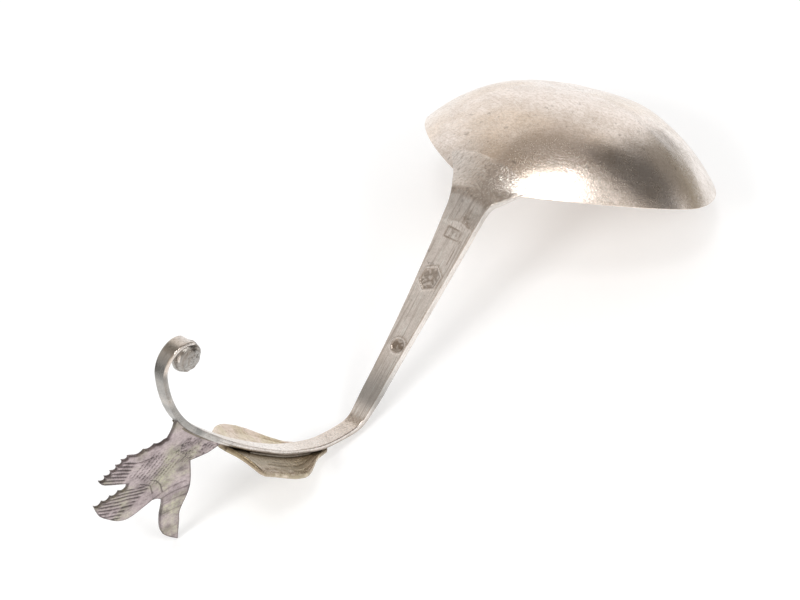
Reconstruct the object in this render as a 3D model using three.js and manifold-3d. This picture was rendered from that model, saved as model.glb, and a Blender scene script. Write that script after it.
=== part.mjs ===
// A silver cream spoon with a hooked handle, lying face down on a table.
//
// The spoon's own frame has x across the handle, y from the hook towards the bowl, and z out of
// the handle's back. Its origin is where the middle of the stem's back meets the bowl's rim.
// The whole spoon is then turned as it lies and stood on z = 0. All lengths are millimetres.

import * as THREE from 'three';
import { mergeVertices } from 'three/addons/utils/BufferGeometryUtils.js';
import Module from 'manifold-3d';

const wasm = await Module();
wasm.setup();

const deg = THREE.MathUtils.degToRad;
const ACROSS = new THREE.Vector3(1, 0, 0);

// How the spoon lies: turned about the vertical, and rolled a little to its left.
const LIE_TURN = deg(-39.5);
const LIE_ROLL = deg(-3.5);

// Clearance between pieces that are soldered together.
const SEAM = 0.3;

// Bowl: fig-shaped, widest past its middle, raised from sheet.
const BOWL_HALF_WIDTH = 29.1;
const BOWL_NEAR_LENGTH = 33.5;
const BOWL_FAR_LENGTH = 35.5;
const BOWL_DEPTH = 11.4;
const BOWL_WALL = 1.2;
const BOWL_LIP = 1.5;
const BOWL_NEAR_POINT = 1.54;
const BOWL_NEAR_TAPER = 1.11;
const BOWL_NEAR_DIP = 5.7;
const BOWL_SIDE_DIP = 2;
const BOWL_CROWN_POWER = 2.86;
const BOWL_POINT_FADE = 3;
const BOWL_SET_BACK = 0.6;
const BOWL_TILT = deg(30.8);
const BOWL_YAW = deg(5.3);
const BOWL_ROLL = deg(-2.6);
const BOWL_SIDES = 56;
const BOWL_RINGS = 11;
const BOWL_EYE = 0.01;

// Handle: one forged strip, given by the stretches of its back from the bowl to the scroll.
const ROOT_LENGTH = 5.4;
const NECK_LENGTH = 2.9;
const STEM_SLOPE = deg(37.8);
const STEM_LENGTH = 43;
const CREASE_RADIUS = 4.2;
const CREASE_TURN = deg(47.6);
const SHOULDER_LENGTH = 20.2;
const SHOULDER_TURN = deg(32.1);
const RISER_LENGTH = 26.9;
const RISER_TURN = deg(12);
const HOOK_LENGTH = 15.5;
const HOOK_TURN = deg(37.6);
const CROWN_RADIUS = 3.6;
const CROWN_TURN = deg(140);
const SCROLL_RADIUS = 2.1;
const SCROLL_TIGHTENS = 0.275;
const SCROLL_QUARTERS = 7;

const STEM_WIDTH = 3.9;
const STEM_TAPER_WIDTH = 4.6;
const STEM_TAPER_LENGTH = 40;
const STEM_TAPER_POWER = 1.35;
const FLARE_LEFT = 6;
const FLARE_RIGHT = 3.6;
const FLARE_LENGTH = 10.5;
const FLARE_DROOP = 2.8;
const SHOULDER_WIDTH = 3.2;
const HOOK_WIDTH = 2.5;
const SCROLL_WIDTH = 3;
const SCROLL_EYE_WIDTH = 3.8;
const ROOT_THICKNESS = 1.2;
const STEM_THICKNESS = 1.8;
const SHOULDER_THICKNESS = 0.95;
const HOOK_THICKNESS = 1.2;
const SCROLL_THICKNESS = 0.8;
const NARROWS_BEFORE_CREASE = 6;
const THINS_BEFORE_CREASE = 6;
const THINS_AFTER_CREASE = 4;
const EDGE_CHAMFER = 0.25;

// The strip isn't quite straight seen from above: it drifts to the left near the bowl, and lies a
// little to the right until it is past the crease.
const SWAY_LEFT = 0.95;
const SWAY_LENGTH = 34;
const SWAY_RIGHT = 0.5;
const SWAYS_BACK_AFTER_CREASE = 7;
const SWAYS_BACK_LENGTH = 8;

// Leaf: a lobed plate soldered under the shoulder, its left lobe lifted and its right one drooping.
const LEAF_PAST_CREASE = 5.5;
const LEAF_LENGTH = 30;
const LEAF_RIGHT_WIDTH = 6.35;
const LEAF_LEFT_WIDTH = 7.6;
const LEAF_RIGHT_SKEW = 1.5;
const LEAF_LEFT_SKEW = 1.6;
const LEAF_RIGHT_BLUNTNESS = 0.4;
const LEAF_LEFT_BLUNTNESS = 0.57;
const LEAF_THICKNESS = 0.9;
const LEAF_LEFT_LIFT = 1.9;
const LEAF_RIGHT_DROOP = 1.2;

// Bird: a figure sawn from sheet, standing on the outside of the hook.
const BIRD_BEFORE_HOOK = 1.7;
const BIRD_LEAN = deg(19.1);
const BIRD_THICKNESS = 0.6;
const BIRD_RISE = 1.1;

// Solder beads.
const BEAD_RADIUS = 0.45;
const BEAD_SIDES = 8;
const BIRD_FOOT_BEAD = 12;

const SILVER = 0xb9b4ad;
const SOLDER = 0xa7a29a;

function silver(color, roughness) {
  return new THREE.MeshStandardMaterial({ color, roughness, metalness: 1 });
}

// Joins and cuts

function toSolid(geometry) {
  const bare = geometry.index ? geometry.clone() : geometry;
  bare.deleteAttribute('normal');
  bare.deleteAttribute('uv');
  const merged = mergeVertices(bare, 1e-4);
  const mesh = new wasm.Mesh({
    numProp: 3,
    vertProperties: new Float32Array(merged.attributes.position.array),
    triVerts: new Uint32Array(merged.index.array),
  });
  return new wasm.Manifold(mesh);
}

function toGeometry(solid) {
  const mesh = solid.getMesh();
  const geometry = new THREE.BufferGeometry();
  geometry.setAttribute('position', new THREE.BufferAttribute(mesh.vertProperties, 3));
  geometry.setIndex(new THREE.BufferAttribute(mesh.triVerts, 1));
  return geometry;
}

// A closed body from rings that all have the same number of points, with flat ends.
function loft(rings) {
  const points = rings.flat();
  const count = rings[0].length;
  const index = [];
  for (let r = 0; r + 1 < rings.length; r++) {
    for (let i = 0; i < count; i++) {
      const j = (i + 1) % count;
      const a = r * count + i;
      const b = r * count + j;
      index.push(a, b, b + count, a, b + count, a + count);
    }
  }
  const last = (rings.length - 1) * count;
  for (let i = 1; i + 1 < count; i++) {
    index.push(0, i + 1, i, last, last + i, last + i + 1);
  }
  const geometry = new THREE.BufferGeometry();
  geometry.setAttribute('position', new THREE.Float32BufferAttribute(points.flatMap((p) => p.toArray()), 3));
  geometry.setIndex(index);
  return geometry;
}

// The line of the strip's back, in the plane x = 0

// The root runs up to the bowl's wall a little flatter than the wall, so that it ends against it.
const ROOT_DIP = deg(14);
const WALL_RISE = BOWL_DEPTH * BOWL_CROWN_POWER + 2 * BOWL_NEAR_DIP;
const WALL_SLOPE = Math.atan(WALL_RISE / BOWL_NEAR_LENGTH) - BOWL_TILT;
const ROOT_SLOPE = WALL_SLOPE - ROOT_DIP;

const STRETCHES = [
  { name: 'root', length: ROOT_LENGTH, turn: 0 },
  { name: 'neck', length: NECK_LENGTH, turn: ROOT_SLOPE - STEM_SLOPE },
  { name: 'stem', length: STEM_LENGTH, turn: 0 },
  { name: 'crease', length: CREASE_RADIUS * CREASE_TURN, turn: CREASE_TURN },
  { name: 'shoulder', length: SHOULDER_LENGTH, turn: SHOULDER_TURN },
  { name: 'riser', length: RISER_LENGTH, turn: RISER_TURN },
  { name: 'hook', length: HOOK_LENGTH, turn: HOOK_TURN },
  { name: 'crown', length: CROWN_RADIUS * CROWN_TURN, turn: CROWN_TURN },
];

// The scroll is wound in quarter turns, each tighter than the one before.
const QUARTER = Math.PI / 2;
for (let i = 0; i < SCROLL_QUARTERS; i++) {
  const radius = SCROLL_RADIUS - i * SCROLL_TIGHTENS;
  STRETCHES.push({ name: `scroll${i}`, length: radius * QUARTER, turn: QUARTER });
}

// The distance along the back at which each stretch ends. The root's end is the rim.
const end = {};
let stripLength = 0;
for (const { name, length } of STRETCHES) {
  stripLength += length;
  end[name] = stripLength;
}

// Where the back is after a distance from the root's tip, and which way it heads and faces.
function backAt(distance) {
  let heading = -ROOT_SLOPE;
  let left = distance;
  const at = new THREE.Vector3(0, Math.cos(heading), -Math.sin(heading)).multiplyScalar(ROOT_LENGTH);
  for (const { length, turn } of STRETCHES) {
    const part = Math.min(left, length) / length;
    const bend = turn * part;
    if (turn === 0) {
      at.y -= Math.cos(heading) * length * part;
      at.z += Math.sin(heading) * length * part;
    } else {
      const radius = length / turn;
      at.y -= radius * (Math.sin(heading + bend) - Math.sin(heading));
      at.z += radius * (Math.cos(heading) - Math.cos(heading + bend));
    }
    heading += bend;
    left -= length;
    if (left <= 0) break;
  }
  const along = new THREE.Vector3(0, -Math.cos(heading), Math.sin(heading));
  const out = new THREE.Vector3(0, Math.sin(heading), Math.cos(heading));
  return { at, along, out };
}

// How much of a length is left after a distance past the rim, from 1 down to 0.
function shareLeft(distance, length) {
  const past = Math.max(0, distance - end.root);
  return Math.max(0, 1 - past / length);
}

// How far the flare into the bowl has grown, from 0 in the stem to 1 at the root's tip.
function flareShare(distance) {
  return Math.max(0, 1 - distance / FLARE_LENGTH) ** 2;
}

function ramp(distance, from, to) {
  return THREE.MathUtils.smoothstep(distance, from, to);
}

function stripWidth(distance) {
  const taper = STEM_TAPER_WIDTH * shareLeft(distance, STEM_TAPER_LENGTH) ** STEM_TAPER_POWER;
  const narrows = ramp(distance, end.stem - NARROWS_BEFORE_CREASE, end.crease);
  const shoulder = (SHOULDER_WIDTH - STEM_WIDTH) * narrows;
  const hook = (HOOK_WIDTH - SHOULDER_WIDTH) * ramp(distance, end.shoulder, end.hook);
  const crown = (SCROLL_WIDTH - HOOK_WIDTH) * ramp(distance, end.hook, end.crown);
  const scroll = (SCROLL_EYE_WIDTH - SCROLL_WIDTH) * ramp(distance, end.crown, stripLength);
  return STEM_WIDTH + taper + shoulder + hook + crown + scroll;
}

function stripThickness(distance) {
  const root = (STEM_THICKNESS - ROOT_THICKNESS) * flareShare(distance);
  const thins = ramp(distance, end.stem - THINS_BEFORE_CREASE, end.crease + THINS_AFTER_CREASE);
  const shoulder = (SHOULDER_THICKNESS - STEM_THICKNESS) * thins;
  const hook = (HOOK_THICKNESS - SHOULDER_THICKNESS) * ramp(distance, end.shoulder, end.riser);
  const scroll = (SCROLL_THICKNESS - HOOK_THICKNESS) * ramp(distance, end.riser, end.crown);
  return STEM_THICKNESS - root + shoulder + hook + scroll;
}

function stripSway(distance) {
  const start = end.crease + SWAYS_BACK_AFTER_CREASE;
  const right = SWAY_RIGHT * (1 - ramp(distance, start, start + SWAYS_BACK_LENGTH));
  return right - SWAY_LEFT * shareLeft(distance, SWAY_LENGTH) ** 2;
}

// Where one edge of the strip is, with the flare that widens it into the bowl.
function stripEdge(distance, side) {
  const flare = (side > 0 ? FLARE_RIGHT : FLARE_LEFT) * flareShare(distance);
  return stripSway(distance) + side * (stripWidth(distance) / 2 + flare);
}

// Distances at which the strip gets a section, closer together where it bends or flares.
function stripStations() {
  const steps = { root: 3, neck: 3, stem: 14, crease: 8, shoulder: 10, riser: 3, hook: 8, crown: 12 };
  const quarterSteps = 5;
  const starts = STRETCHES.flatMap(({ name, length }) => {
    const count = steps[name] ?? quarterSteps;
    return Array.from({ length: count }, (_, i) => end[name] - length * (1 - i / count));
  });
  return [...starts, stripLength];
}

// One section of the strip: a rectangle with small chamfers, grown outwards by a clearance. Near the
// bowl its sides droop, because the bowl falls away to both sides there.
function stripSection(distance, grow) {
  const { at, out } = backAt(distance);
  const left = stripEdge(distance, -1) - grow;
  const right = stripEdge(distance, 1) + grow;
  const middle = (left + right) / 2;
  const half = (right - left) / 2;
  const droop = FLARE_DROOP * flareShare(distance);
  const c = EDGE_CHAMFER;
  const inner = half - c;
  const across = [inner, inner / 2, 0, -inner / 2, -inner];
  const top = across.map((x) => [x, grow]);
  const thick = stripThickness(distance) + grow;
  const bottom = across.map((x) => [x, -thick]).reverse();
  const rightSide = [[half, -thick + c], [half, grow - c]];
  const leftSide = [[-half, grow - c], [-half, -thick + c]];
  const corners = [...rightSide, ...top, ...leftSide, ...bottom];
  return corners.map(([x, z]) => {
    const up = z - droop * (x / half) ** 2;
    return at.clone().addScaledVector(ACROSS, middle + x).addScaledVector(out, up);
  });
}

function stripGeometry(grow, stations) {
  return loft(stations.map((distance) => stripSection(distance, grow)));
}

// Bowl

const bowlFrame = new THREE.Object3D();
bowlFrame.rotation.set(-BOWL_TILT, BOWL_ROLL, BOWL_YAW, 'XZY');
bowlFrame.updateMatrix();
const bowlAway = new THREE.Vector3(0, 1, 0).applyEuler(bowlFrame.rotation);
const bowlUp = new THREE.Vector3(0, 0, 1).applyEuler(bowlFrame.rotation);
bowlFrame.position.addScaledVector(bowlAway, BOWL_NEAR_LENGTH + BOWL_SET_BACK);
bowlFrame.position.addScaledVector(bowlUp, BOWL_NEAR_DIP);
bowlFrame.updateMatrix();

// Raises a share between -1 and 1 to a power and keeps its sign.
function bent(share, power) {
  return Math.sign(share) * Math.abs(share) ** power;
}

// A ring's outline at an angle from the stem: narrow and drawn down towards the stem, round at the
// far end. The rim has a share of 1, and the rings get rounder towards the crown.
function ringPoint(angle, inset, share) {
  const near = Math.cos(angle) > 0;
  const pointed = near ? share ** BOWL_POINT_FADE : 0;
  const x = bent(Math.sin(angle), 1 + (BOWL_NEAR_POINT - 1) * pointed);
  const y = bent(-Math.cos(angle), 1 + (BOWL_NEAR_TAPER - 1) * pointed);
  const length = near ? BOWL_NEAR_LENGTH : BOWL_FAR_LENGTH;
  const dip = BOWL_SIDE_DIP * x * x + (near ? BOWL_NEAR_DIP * y * y : 0);
  return new THREE.Vector3(x * (BOWL_HALF_WIDTH - inset), y * (length - inset), -dip);
}

// A dome over the rim, as a closed body that goes down to a depth below the rim.
function dome(inset, height, below) {
  const ring = (share, sink) => Array.from({ length: BOWL_SIDES }, (_, i) => {
    const outline = ringPoint((-i / BOWL_SIDES) * Math.PI * 2, inset, share);
    const rise = height * (1 - share ** BOWL_CROWN_POWER) - sink;
    return new THREE.Vector3(outline.x * share, outline.y * share, outline.z * share * share + rise);
  });
  const rings = [ring(BOWL_EYE, 0)];
  for (let r = BOWL_RINGS - 1; r >= 0; r--) {
    rings.push(ring(Math.cos((r / BOWL_RINGS) * (Math.PI / 2)), 0));
  }
  if (below > 0) rings.push(ring(1, below));
  return loft(rings);
}

function bowlGeometry() {
  const outside = toSolid(dome(0, BOWL_DEPTH, 0));
  const inside = toSolid(dome(BOWL_LIP, BOWL_DEPTH - BOWL_WALL, BOWL_NEAR_DIP));
  return toGeometry(outside.subtract(inside));
}

// What the handle's root is cut by: the bowl with its clearance, and the space below the rim.
function bowlEnvelope() {
  return toSolid(dome(-SEAM, BOWL_DEPTH + SEAM, 2 * STEM_THICKNESS).applyMatrix4(bowlFrame.matrix));
}

function handleGeometry() {
  return toGeometry(toSolid(stripGeometry(0, stripStations())).subtract(bowlEnvelope()));
}

// Leaf plate

const leafStart = end.crease + LEAF_PAST_CREASE;

// How far the leaf reaches to one side of the strip's middle.
function leafReach(distance, side) {
  const share = (distance - leafStart) / LEAF_LENGTH;
  const [width, skew, bluntness] = side > 0
    ? [LEAF_RIGHT_WIDTH, LEAF_RIGHT_SKEW, LEAF_RIGHT_BLUNTNESS]
    : [LEAF_LEFT_WIDTH, LEAF_LEFT_SKEW, LEAF_LEFT_BLUNTNESS];
  return Math.max(0.5, width * Math.max(0, Math.sin(Math.PI * share ** skew)) ** bluntness);
}

function leafDrop(x) {
  if (x < 0) return -LEAF_LEFT_LIFT * (x / LEAF_LEFT_WIDTH) ** 2;
  return LEAF_RIGHT_DROOP * (x / LEAF_RIGHT_WIDTH) ** 2;
}

// A point of the leaf, at a depth under its upper face.
function leafPoint(distance, x, depth) {
  const { at, out } = backAt(distance);
  const under = stripThickness(distance) + SEAM + leafDrop(x) + depth;
  return at.clone().addScaledVector(ACROSS, x).addScaledVector(out, -under);
}

function leafGeometry() {
  const stations = 21;
  const shares = [-1, -0.8, -0.55, -0.3, 0, 0.3, 0.55, 0.8, 1];
  const rings = Array.from({ length: stations }, (_, i) => {
    const distance = leafStart + (LEAF_LENGTH / 2) * (1 - Math.cos((i / (stations - 1)) * Math.PI));
    const across = shares.map((share) => share * leafReach(distance, share));
    const lower = across.map((x) => leafPoint(distance, x, LEAF_THICKNESS));
    const upper = across.map((x) => leafPoint(distance, x, 0)).reverse();
    return [...upper, ...lower];
  });
  return loft(rings);
}

// Bird

// Small round teeth along a line, bulging to its left.
function scallops(from, to, teeth, depth) {
  const points = [];
  const stepsPerTooth = 3;
  const side = new THREE.Vector2(from.y - to.y, to.x - from.x).normalize();
  for (let i = 0; i < teeth * stepsPerTooth; i++) {
    const share = i / (teeth * stepsPerTooth);
    const bulge = depth * Math.sin(((i % stepsPerTooth) / stepsPerTooth) * Math.PI);
    points.push(from.clone().lerp(to, share).addScaledVector(side, bulge));
  }
  return points;
}

// The figure seen from its right, with its foot along the strip and its body outwards.
function birdShape() {
  const v = (x, y) => new THREE.Vector2(x, y + BIRD_RISE);
  const shape = new THREE.Shape();
  shape.moveTo(-8, -0.7);
  shape.splineThru([v(-5.4, 1), v(-4.2, 3)]);
  const back = scallops(v(-7.8, 8.3), v(-4.6, 3.2), 3, 0.5).reverse();
  const tail = scallops(v(-9.8, 15), v(-9.4, 8.6), 5, 1).reverse();
  const wing = scallops(v(-4.8, 19.8), v(-1.9, 14), 4, 0.7).reverse();
  for (const point of [...back, ...tail]) shape.lineTo(point.x, point.y);
  shape.splineThru([v(-8.3, 15.2), v(-6.3, 14.7), v(-2.5, 13.4)]);
  for (const point of wing) shape.lineTo(point.x, point.y);
  shape.splineThru([v(-1.9, 20.9), v(0.9, 20.9), v(3.6, 20.5), v(5.3, 19.2), v(6.1, 16.1), v(6.4, 14.5)]);
  shape.splineThru([v(7.4, 13.8), v(8.9, 14), v(12.2, 16.8), v(16.5, 19.5), v(19, 20), v(22.1, 19.6)]);
  shape.splineThru([v(18.1, 16.4), v(14.9, 13.9), v(11.3, 9), v(6, 4.9)]);
  shape.splineThru([v(7.9, 2.5), v(8.7, 0.9), v(9.4, -0.5 - BIRD_RISE)]);
  shape.quadraticCurveTo(0.8, 1.6, -8, -0.7);
  return shape;
}

const birdAt = end.riser - BIRD_BEFORE_HOOK;
const birdFrame = new THREE.Object3D();
{
  const { at, along, out } = backAt(birdAt);
  const x = along.clone().negate();
  const y = out.clone().multiplyScalar(-Math.cos(BIRD_LEAN)).addScaledVector(ACROSS, -Math.sin(BIRD_LEAN));
  birdFrame.matrix.makeBasis(x, y, x.clone().cross(y)).setPosition(at);
}

function birdGeometry() {
  const plate = new THREE.ExtrudeGeometry(birdShape(), {
    depth: BIRD_THICKNESS, bevelEnabled: false, curveSegments: 4,
  });
  plate.translate(0, 0, -BIRD_THICKNESS / 2).applyMatrix4(birdFrame.matrix);
  const nearby = stripStations().filter((distance) => distance >= end.crease && distance <= end.hook);
  const strip = toSolid(stripGeometry(SEAM, nearby));
  return toGeometry(toSolid(plate).subtract(strip));
}

// Solder: round beads laid along a line of points

function bead(points) {
  const curve = new THREE.CatmullRomCurve3(points);
  const circle = new THREE.Shape();
  circle.absarc(0, 0, BEAD_RADIUS, 0, Math.PI * 2, false);
  return new THREE.ExtrudeGeometry(circle, {
    steps: points.length * 2, extrudePath: curve, curveSegments: BEAD_SIDES / 2,
  });
}

// Along the strip's edge, on one side, where it lies on the leaf.
function leafBead(side) {
  const count = 7;
  const points = Array.from({ length: count }, (_, i) => {
    const distance = leafStart + LEAF_LENGTH * (0.25 + (0.55 * i) / (count - 1));
    const x = stripSway(distance) + side * (stripWidth(distance) / 2 + BEAD_RADIUS + SEAM);
    return leafPoint(distance, x, -BEAD_RADIUS - SEAM);
  });
  return bead(points);
}

// Along the bird's foot, on one face of its plate.
function birdBead(side) {
  const count = 6;
  const clear = BEAD_RADIUS + SEAM;
  const points = Array.from({ length: count }, (_, i) => {
    const distance = birdAt + BIRD_FOOT_BEAD * (0.5 - i / (count - 1));
    const { at, out } = backAt(distance);
    const deep = stripThickness(distance) + clear;
    const x = (side * (BIRD_THICKNESS / 2 + clear)) / Math.cos(BIRD_LEAN) - Math.tan(BIRD_LEAN) * deep;
    return at.clone().addScaledVector(out, -deep).addScaledVector(ACROSS, x);
  });
  return bead(points);
}

// Across the stem's front, against the bowl's rim.
function bowlBead() {
  const distance = end.neck;
  const { at, out } = backAt(distance);
  const deep = stripThickness(distance) + BEAD_RADIUS + SEAM;
  const reach = stripWidth(distance) / 2 - 1;
  const points = [-1, -0.5, 0, 0.5, 1].map((share) =>
    at.clone().addScaledVector(out, -deep).addScaledVector(ACROSS, stripSway(distance) + share * reach));
  return bead(points);
}

// Assembly

const spoon = new THREE.Group();

function add(name, geometry, material, matrix) {
  const mesh = new THREE.Mesh(geometry, material);
  mesh.name = name;
  if (matrix) mesh.applyMatrix4(matrix);
  spoon.add(mesh);
}

add('bowl', bowlGeometry(), silver(SILVER, 0.34), bowlFrame.matrix);
add('handle', handleGeometry(), silver(SILVER, 0.3));
add('leaf_plate', leafGeometry(), silver(SILVER, 0.38));
add('bird_figure', birdGeometry(), silver(SILVER, 0.42));
add('bowl_solder', bowlBead(), silver(SOLDER, 0.45));
add('leaf_solder_left', leafBead(-1), silver(SOLDER, 0.45));
add('leaf_solder_right', leafBead(1), silver(SOLDER, 0.45));
add('bird_solder_left', birdBead(-1), silver(SOLDER, 0.45));
add('bird_solder_right', birdBead(1), silver(SOLDER, 0.45));

spoon.rotation.set(0, LIE_ROLL, LIE_TURN, 'ZYX');
const lying = new THREE.Group();
lying.add(spoon);
const box = new THREE.Box3().setFromObject(lying, true);
const middle = box.getCenter(new THREE.Vector3());
spoon.position.set(-middle.x, -middle.y, -box.min.z);

export default lying;
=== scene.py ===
import math

import bpy
from mathutils import Euler, Matrix, Vector, noise
from mathutils.geometry import delaunay_2d_cdt, intersect_point_line
from mathutils.kdtree import KDTree


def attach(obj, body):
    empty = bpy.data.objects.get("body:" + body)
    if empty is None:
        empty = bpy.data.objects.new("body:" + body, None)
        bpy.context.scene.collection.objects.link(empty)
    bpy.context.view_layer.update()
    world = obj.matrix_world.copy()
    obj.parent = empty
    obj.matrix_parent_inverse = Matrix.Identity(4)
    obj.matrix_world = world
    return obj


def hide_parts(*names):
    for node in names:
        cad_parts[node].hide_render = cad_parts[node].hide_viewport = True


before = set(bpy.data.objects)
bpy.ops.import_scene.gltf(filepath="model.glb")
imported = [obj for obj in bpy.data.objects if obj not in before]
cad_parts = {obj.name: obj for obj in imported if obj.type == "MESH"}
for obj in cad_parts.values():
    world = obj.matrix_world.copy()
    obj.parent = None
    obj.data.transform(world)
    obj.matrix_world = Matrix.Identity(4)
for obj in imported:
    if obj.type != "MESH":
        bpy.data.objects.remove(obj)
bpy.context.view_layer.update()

MM = 0.001
deg = math.radians

# The spoon's own frame, as in the CAD: x across the handle, y from the hook towards the bowl,
# z out of the handle's back. Lengths in it are millimetres.
ORIGIN = Vector((8.2626, 6.4713, 31.0112))
LIE = Matrix.Rotation(deg(-39.5), 3, 'Z') @ Matrix.Rotation(deg(-3.5), 3, 'Y')
ACROSS = Vector((1, 0, 0))

# Bowl sizes
HALF_WIDTH = 29.1
NEAR = 33.5
FAR = 35.5
DEPTH = 11.4
BOWL_WALL = 1.2
RIM_WALL = 1.5
LIP_DROP = 0.28
# How far the rim sinks towards the stem and at the sides.
NEAR_DIP = 5.7
SIDE_DIP = 2.0
# The powers of the bowl's curve from its middle to its rim, and of the outline on the stem's side.
CROWN = 2.86
NEAR_POINT = 1.54
NEAR_TAPER = 1.11
# How the bowl is turned on the stem, and how far its rim is from the frame's origin.
BOWL_SLOPE = deg(30.8)
BOWL_YAW = deg(5.3)
BOWL_ROLL = deg(-2.6)
RIM_GAP = 0.6

# Strip sizes
ROOT_LENGTH = 5.4
ROOT_SPREAD = 4.6
ROOT_TAPER = 40
STEM_SLOPE = 37.8
STEM_WIDTH = 3.9
SHOULDER_WIDTH = 3.2
HOOK_WIDTH = 2.5
SCROLL_WIDTH = 3.0
TIP_THICKNESS = 0.7
STEM_THICKNESS = 1.8
SHOULDER_THICKNESS = 0.95
HOOK_THICKNESS = 1.2
SCROLL_THICKNESS = 0.8
# The tongue that the root spreads into over the bowl.
FLARE_LENGTH = 10.5
FLARE_RIGHT = 3.9
FLARE_LEFT = 6.6
FLARE_DROOP = 2.8
# How far the strip's middle line lies to the right on the stem, and to the left at the root.
STEM_SWAY = 0.55
ROOT_SWAY = 0.95
SWAY_LENGTH = 34


def place(point):
    return (LIE @ point + ORIGIN) * MM


# The strip's path

WALL_SLOPE = math.atan((DEPTH * CROWN + 2 * NEAR_DIP) / NEAR) - BOWL_SLOPE
ROOT_SLOPE = WALL_SLOPE - deg(14)
CREASE_TURN = deg(47.6)
CROWN_TURN = deg(112)
QUARTER = deg(90)
# The name, length and turn of each stretch, from the tip of the root.
STRETCHES = [
    ("root", ROOT_LENGTH, 0.0),
    ("neck", 2.9, ROOT_SLOPE - deg(STEM_SLOPE)),
    ("stem", 43.0, 0.0),
    ("crease", 4.2 * CREASE_TURN, CREASE_TURN),
    ("shoulder", 20.2, deg(32.1)),
    ("riser", 26.9, deg(12)),
    ("hook", 15.5, deg(37.6)),
    ("crown", 3.6 * CROWN_TURN, CROWN_TURN),
]
# The scroll is wound in quarter turns, each tighter than the one before.
STRETCHES += [("scroll%d" % i, (1.7 - 0.21 * i) * QUARTER, QUARTER) for i in range(6)]
END = {}
LENGTH = 0.0
for stretch, length, turn in STRETCHES:
    LENGTH += length
    END[stretch] = LENGTH


def back_at(distance):
    """The back's point at a distance from the root's tip, its direction and its outward direction."""
    heading = -ROOT_SLOPE
    left = distance
    y = math.cos(heading) * ROOT_LENGTH
    z = -math.sin(heading) * ROOT_LENGTH
    for _, length, turn in STRETCHES:
        part = min(left, length) / length
        bend = turn * part
        if turn == 0:
            y -= math.cos(heading) * length * part
            z += math.sin(heading) * length * part
        else:
            radius = length / turn
            y -= radius * (math.sin(heading + bend) - math.sin(heading))
            z += radius * (math.cos(heading) - math.cos(heading + bend))
        heading += bend
        left -= length
        if left <= 0:
            break
    along = Vector((0, -math.cos(heading), math.sin(heading)))
    out = Vector((0, math.sin(heading), math.cos(heading)))
    return Vector((0, y, z)), along, out


def ramp(value, low, high):
    """Rises smoothly from 0 at low to 1 at high."""
    t = min(1.0, max(0.0, (value - low) / (high - low)))
    return t * t * (3 - 2 * t)


# The strip's section. d is a distance along the strip from the root's tip, s is one from the bowl's rim,
# and w is how far a point is to the right.

def share_left(distance, length):
    """How much of a stretch from the rim is left at a distance."""
    return max(0.0, 1 - max(0.0, distance - END["root"]) / length)


def strip_width(d):
    taper = ROOT_SPREAD * share_left(d, ROOT_TAPER) ** 1.35
    shoulder = (SHOULDER_WIDTH - STEM_WIDTH) * ramp(d, END["stem"] - 6, END["crease"])
    hook = (HOOK_WIDTH - SHOULDER_WIDTH) * ramp(d, END["shoulder"], END["hook"])
    crown = (SCROLL_WIDTH - HOOK_WIDTH) * ramp(d, END["hook"], END["crown"])
    return STEM_WIDTH + taper + shoulder + hook + crown


def flare_share(d):
    """How far the tongue is spread, from 1 at its tip."""
    return max(0.0, 1 - d / FLARE_LENGTH) ** 2


def strip_thickness(d):
    root = (STEM_THICKNESS - TIP_THICKNESS) * min(1.0, 1.6 * flare_share(d))
    shoulder = (SHOULDER_THICKNESS - STEM_THICKNESS) * ramp(d, END["stem"] - 6, END["crease"] + 4)
    hook = (HOOK_THICKNESS - SHOULDER_THICKNESS) * ramp(d, END["shoulder"], END["riser"])
    crown = (SCROLL_THICKNESS - HOOK_THICKNESS) * ramp(d, END["riser"], END["crown"])
    return STEM_THICKNESS - root + shoulder + hook + crown


def strip_sway(d):
    right = STEM_SWAY * (1 - ramp(d, END["crease"] + 7, END["crease"] + 15))
    return right - ROOT_SWAY * share_left(d, SWAY_LENGTH) ** 2


def strip_edge(d, side):
    flare = (FLARE_RIGHT if side > 0 else FLARE_LEFT) * flare_share(d)
    return strip_sway(d) + side * (strip_width(d) / 2 + flare)


# The bowl's surface

BOWL_TURN = (Matrix.Rotation(-BOWL_SLOPE, 3, 'X') @ Matrix.Rotation(BOWL_YAW, 3, 'Z')
             @ Matrix.Rotation(BOWL_ROLL, 3, 'Y'))
BOWL_AT = BOWL_TURN @ Vector((0, NEAR + RIM_GAP, NEAR_DIP))
# Unevenness of the hand-raised sheet: fineness, height in millimetres, and shifts along x and z.
UNEVEN = ((0.07, 0.42, 0, 0.0), (0.19, 0.12, 40, 5.0))


def bent(share, power):
    return math.copysign(abs(share) ** power, share)


def outline_powers(y, share):
    """The rim is pointed towards the stem, and the crown isn't."""
    if y > 0:
        return 1.0, 1.0
    pointed = min(1.0, share) ** 3
    return 1 + (NEAR_POINT - 1) * pointed, 1 + (NEAR_TAPER - 1) * pointed


def hand_raised(x, y, share):
    """How uneven the sheet is, in millimetres. The rim is even."""
    wave = 0.0
    for size, height, shift, layer in UNEVEN:
        wave += noise.noise(Vector((x + shift, y, layer)) * size) * height
    return wave * (1 - min(1.0, share) ** 5)


def bowl_point(angle, share, height=DEPTH, inset=0.0, uneven=1.0):
    """A point of the bowl in its own frame, at an angle and a share of the way from its middle to its rim."""
    away = -math.cos(angle)
    power_x, power_y = outline_powers(away, share)
    x, y = bent(math.sin(angle), power_x), bent(away, power_y)
    dip = SIDE_DIP * x * x + (NEAR_DIP * y * y if away < 0 else 0)
    plan_x = x * (HALF_WIDTH - inset) * share
    plan_y = y * ((NEAR if away < 0 else FAR) - inset) * share
    rise = height * (1 - share ** CROWN) + uneven * hand_raised(plan_x, plan_y, share)
    return Vector((plan_x, plan_y, rise - dip * share * share))


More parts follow.
